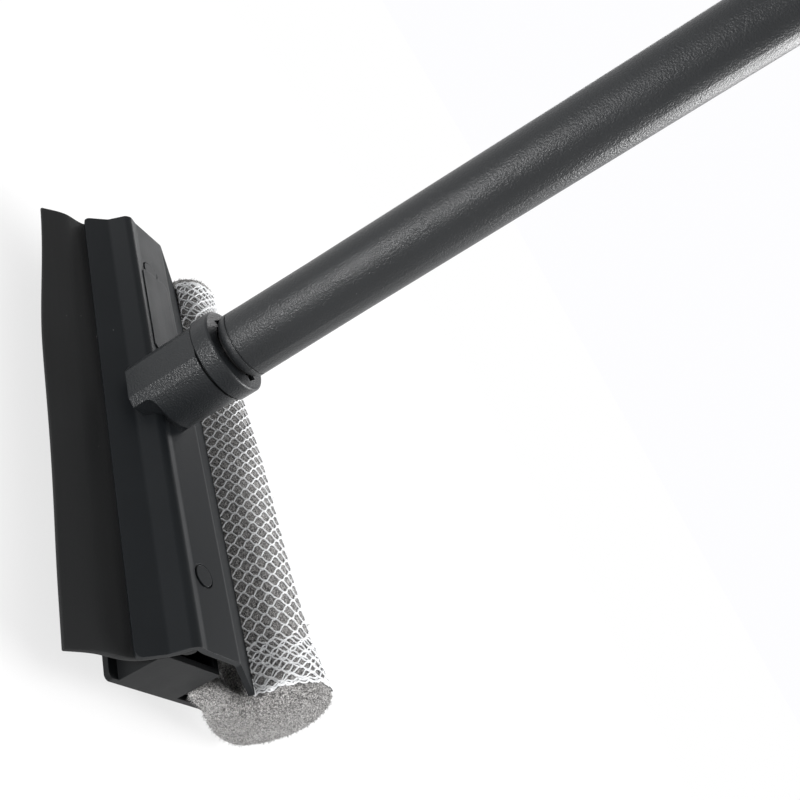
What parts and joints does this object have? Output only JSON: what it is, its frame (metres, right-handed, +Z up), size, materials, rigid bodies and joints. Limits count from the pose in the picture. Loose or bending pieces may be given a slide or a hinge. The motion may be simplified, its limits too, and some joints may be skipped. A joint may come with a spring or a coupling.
{
  "type": "window cleaning squeegee",
  "caption": "Hand squeegee with a rubber blade along one side of a moulded head, a netted foam scrubbing roll along the other, and a straight round handle with a hanging eye.",
  "frame": {"origin": "under the middle of the object's bounding box, level with the lowest point of the sponge", "axes": "+Z up along the handle, +Y from the rubber blade to the sponge, +X along the head"},
  "size_m": [0.211, 0.1105, 0.5655],
  "materials": {
    "head_plastic": "fine satin moulded polypropylene",
    "insert_plastic": "satin moulded polypropylene",
    "blade_rubber": "matte",
    "foam": "open-cell foam",
    "net": "knitted net",
    "screw_steel": "zinc plated",
    "handle_plastic": "fine grained",
    "spigot_plastic": "satin",
    "cap_plastic": "satin"
  },
  "bodies": {
    "head": {"back_housing": "head_plastic", "handle_socket": "head_plastic", "socket_screws": "screw_steel", "rubber_blade": "blade_rubber", "foam_sponge": "foam", "net_cover": "net"},
    "insert": {"clamp_insert": "insert_plastic"},
    "handle": {"handle_tube": "handle_plastic", "handle_spigot": "spigot_plastic", "hang_cap": "cap_plastic"}
  },
  "joints": [
    {"name": "handle_pull", "type": "slide", "parent": "head", "child": "handle", "axis": [0, 0, 1], "range_m": [0, 0.03]},
    {"name": "insert_pull", "type": "slide", "parent": "head", "child": "insert", "axis": [0, 0, -1], "range_m": [0, 0.025]}
  ]
}
